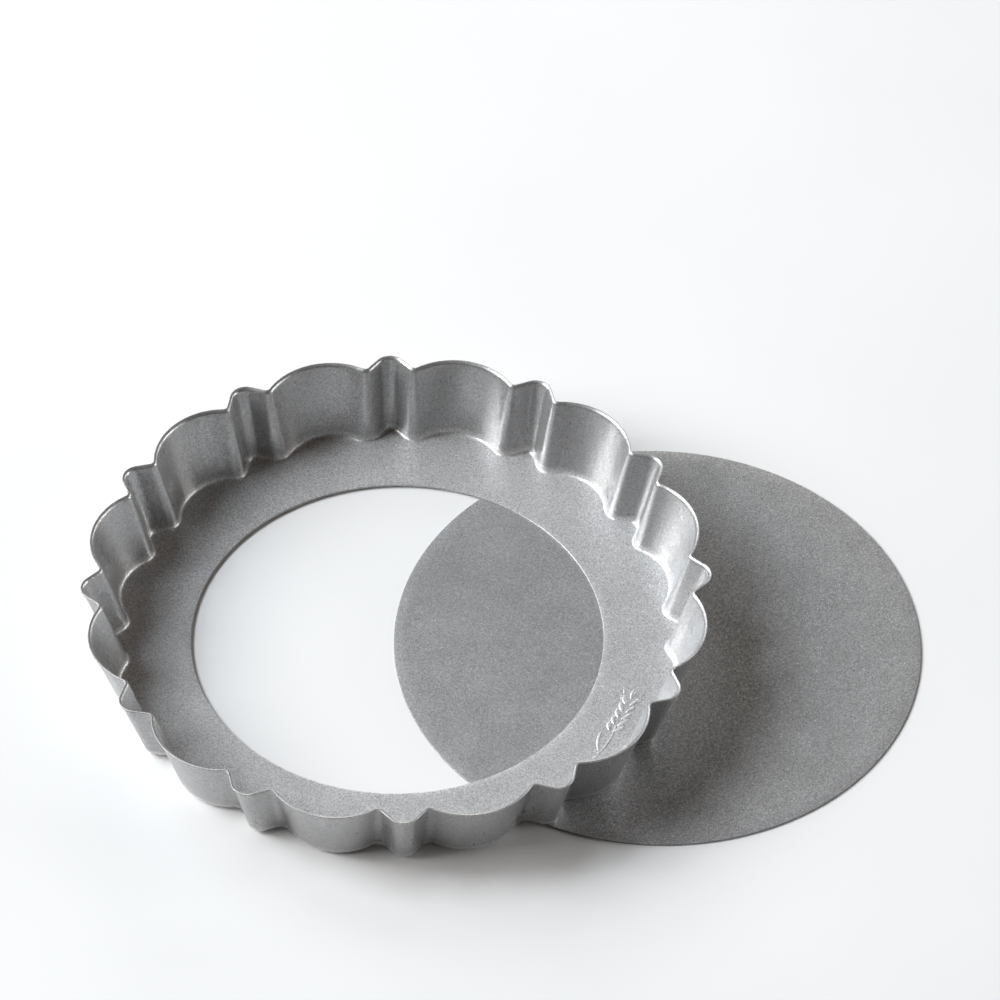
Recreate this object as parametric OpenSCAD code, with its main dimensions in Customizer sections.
// Tart pan with a loose base: a fluted ring with a flat inner ledge, and the round plate that
// seats on that ledge. The ring is laid partly over its plate, as the two lie on a table.
// Origin: centre of the plate's underside. +Z is up, millimetres.

/* [Fluted ring] */
// Height from the underside of the ledge to the top of the lip
ring_h = 37.4; // [32:0.2:44]
// Diameter over the pointed flutes, where the wall's outer face meets the ledge plane
foot_d = 256.9; // [254:0.1:260]
// Diameter over the pointed flutes at the top of the wall, without the lip
wall_top_d = 278.8; // [272:0.1:284]
// Thickness of the pressed steel sheet
sheet = 0.8; // [0.6:0.1:1.2]
// Diameter of the round opening in the ledge
opening_d = 184.8; // [150:0.2:200]
// Radius inside the bend between the ledge and the wall
bend_r = 2; // [1:0.1:2.5]
// Radius of the lip's middle line, where it curls outwards
lip_r = 2; // [1.5:0.1:2.5]
// Angle that the lip curls through
lip_turn = 60; // [40:1:65]

/* [Flutes] */
// Number of lobes, with one pointed flute between each two
lobe_n = 12; // [10:1:12]
// Nose radius of a pointed flute at the foot
nose_foot_r = 5.4; // [4.5:0.1:6]
// Nose radius of a pointed flute at the top of the wall
nose_top_r = 6.9; // [6:0.1:8]
// Radius of a lobe at the foot
lobe_foot_r = 25; // [23:0.5:25.5]
// Radius of a lobe at the top of the wall
lobe_top_r = 30.9; // [29:0.1:32]
// Radius of the notch between a flute and a lobe, at the foot
notch_foot_r = 5.5; // [4:0.1:6]
// Radius of the notch between a flute and a lobe, at the top of the wall
notch_top_r = 2.5; // [1.5:0.1:4]
// Half of the arc that a lobe spans
lobe_half_angle = 45; // [43:0.5:47]

/* [Base plate] */
// Diameter of the loose base plate
plate_d = 235.8; // [204:0.2:237]
// Thickness of the base plate
plate_t = 0.8; // [0.6:0.1:2]

/* [Layout] */
// Sideways distance from the plate's centre to the ring's axis
ring_shift_x = -116.3; // [-125:0.1:-100]
// Front to back distance from the plate's centre to the ring's axis
ring_shift_y = 1.6; // [-5:0.1:5]
// Turn of the ring about its own axis
ring_turn = 2.4; // [0:0.1:30]
// Air gap between the plate and the ring that lies on it
rest_gap = 0.05; // [0.02:0.01:0.2]

/* [Hidden] */

repeat_angle = 360 / lobe_n;

// Segments of a full circle
round_seg = 96;

// Segments along one nose, one notch and half a lobe, and along the bend and the lip
nose_seg = 3;
notch_seg = 3;
lobe_seg = 4;
bend_seg = 3;
lip_seg = 2;

// The wall's outer line climbs from the foot's corner, leaning outwards from the vertical
lean = atan((wall_top_d - foot_d) / 2 / ring_h);
climb = 90 - lean;

// Outline of the wall's outer line, as [reach, nose radius, lobe radius, notch radius]
foot_shape = [foot_d / 2, nose_foot_r, lobe_foot_r, notch_foot_r];
top_shape = [wall_top_d / 2, nose_top_r, lobe_top_r, notch_top_r];

// The exact flat part of the ledge ends at this radius, where the skin of the bend begins
seam_r = (opening_d + foot_d) / 4;

// A step outwards by one millimetre: nose and lobe grow, and the notch between them shrinks
outward = [1, 1, 1, -1];

// Middle line of the sheet in cross-section, as [distance past the foot's corner, height]
bend_mid_r = bend_r + sheet / 2;
mid_corner = sheet / 2 * (tan(lean) - 1 / cos(lean));
bend_centre = [mid_corner - bend_mid_r * tan(climb / 2), sheet / 2 + bend_mid_r];
lip_centre_z = ring_h - (lip_r + sheet / 2) * cos(climb - lip_turn);
lip_centre = [lip_centre_z * tan(lean) + (lip_r - sheet / 2) / cos(lean), lip_centre_z];

function around(centre, r, angles) = [for (a = angles) centre + r * [sin(a), -cos(a)]];
function steps(a0, a1, n) = [for (i = [0:n]) a0 + (a1 - a0) * i / n];

// Both faces of the sheet, from the underside of the ledge up to the lip and back down inside
bend_angles = steps(0, climb, bend_seg);
lip_angles = steps(climb + 180, climb + 180 - lip_turn, lip_seg);
outer_face = concat(
    around(bend_centre, bend_r + sheet, bend_angles),
    around(lip_centre, lip_r - sheet / 2, lip_angles)
);
inner_face = concat(
    around(bend_centre, bend_r, bend_angles),
    around(lip_centre, lip_r + sheet / 2, lip_angles)
);
section = concat(outer_face, [for (i = [len(inner_face) - 1:-1:0]) inner_face[i]]);

// The outline at height z, a distance off past the wall's outer line
function shape_at(z, off) = foot_shape + (top_shape - foot_shape) * z / ring_h + off * outward;

function polar(r, a) = r * [cos(a), sin(a)];
function turned(p, a) = [p[0] * cos(a) - p[1] * sin(a), p[0] * sin(a) + p[1] * cos(a)];
function arc(centre, r, a0, a1, n) = [for (a = steps(a0, a1, n)) centre + polar(r, a)];

// Half of one repeat: a nose on the X axis, a notch, and a lobe up to its middle. The notch's arc
// touches the lobe's arc, and a straight flank joins it to the nose's arc.
function half_repeat(s) =
    let (
        middle = repeat_angle / 2,
        nose_c = [s[0] - s[1], 0],
        lobe_c = polar(s[0] - s[2], middle),
        notch_dir = middle - lobe_half_angle,
        notch_c = lobe_c + polar(s[2] + s[3], notch_dir),
        span = notch_c - nose_c,
        flank_dir = atan2(span[1], span[0]) - acos((s[1] + s[3]) / norm(span)),
        nose = arc(nose_c, s[1], 0, flank_dir, nose_seg),
        notch = arc(notch_c, s[3], flank_dir + 180, notch_dir + 180, notch_seg),
        lobe = arc(lobe_c, s[2], notch_dir, middle, lobe_seg)
    )
    concat(nose, notch, [for (i = [1:lobe_seg]) lobe[i]]);

// The whole closed outline, from half of one repeat and its mirror image
function outline(s) =
    let (
        half = half_repeat(s),
        mirrored = [for (i = [len(half) - 2:-1:1]) turned([half[i][0], -half[i][1]], repeat_angle)]
    )
    [for (k = [0:lobe_n - 1]) each [for (p = concat(half, mirrored)) turned(p, k * repeat_angle)]];

function raised(points, z) = [for (p = points) [p[0], p[1], z]];

// Closed skin over a stack of outlines whose last row joins back to its first
module skin(rows) {
    m = len(rows);
    n = len(rows[0]);
    points = [for (row = rows) each row];
    faces = [for (i = [0:m - 1], j = [0:n - 1])
        let (i2 = (i + 1) % m, j2 = (j + 1) % n)
        each [[i * n + j, i2 * n + j, i * n + j2], [i * n + j2, i2 * n + j, i2 * n + j2]]];
    polyhedron(points, faces, convexity = 8);
}

// The bend and the wall are one skin. The flat part of the ledge inside the seam is exact, and
// both have the same edges where they meet.
module pressed_ring() {
    wall_rows = [for (p = section)
        raised(outline(shape_at(p[1], p[0] - p[1] * tan(lean))), p[1])];
    seam = [for (p = outline(foot_shape)) seam_r * p / norm(p)];
    skin(concat([raised(seam, 0)], wall_rows, [raised(seam, sheet)]));
    linear_extrude(sheet)
        difference() {
            polygon(seam);
            circle(d = opening_d, $fn = round_seg);
        }
}

module base_plate() {
    color([0.55, 0.56, 0.58]) cylinder(d = plate_d, h = plate_t, $fn = round_seg);
}

module fluted_ring() {
    color([0.66, 0.67, 0.69])
        translate([ring_shift_x, ring_shift_y, plate_t + rest_gap])
            rotate([0, 0, 90 + ring_turn])
                pressed_ring();
}

base_plate();
fluted_ring();
